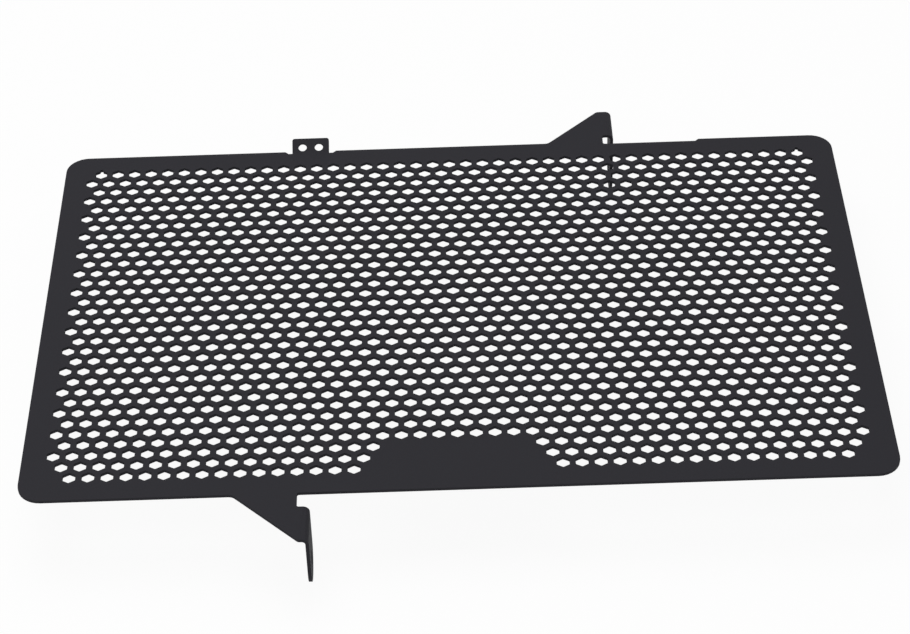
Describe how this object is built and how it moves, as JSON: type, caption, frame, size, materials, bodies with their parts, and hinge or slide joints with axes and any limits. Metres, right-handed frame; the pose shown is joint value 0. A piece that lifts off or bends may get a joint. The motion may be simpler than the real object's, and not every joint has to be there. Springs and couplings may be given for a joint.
{
  "type": "motorcycle radiator guard",
  "caption": "Flat perforated sheet-metal guard for a motorcycle radiator, with a honeycomb field, a plain rim, mounting ears folded back and a small tab folded forwards.",
  "frame": {"origin": "centre of the flat panel, on its back face", "axes": "+Z out of the panel's front, +X along its width, +Y towards the upper edge with the small two-hole tab"},
  "size_m": [0.375, 0.299, 0.0419],
  "materials": {
    "powder_coat": "matte"
  },
  "bodies": {
    "root": {"radiator_guard": "powder_coat"}
  },
  "joints": []
}
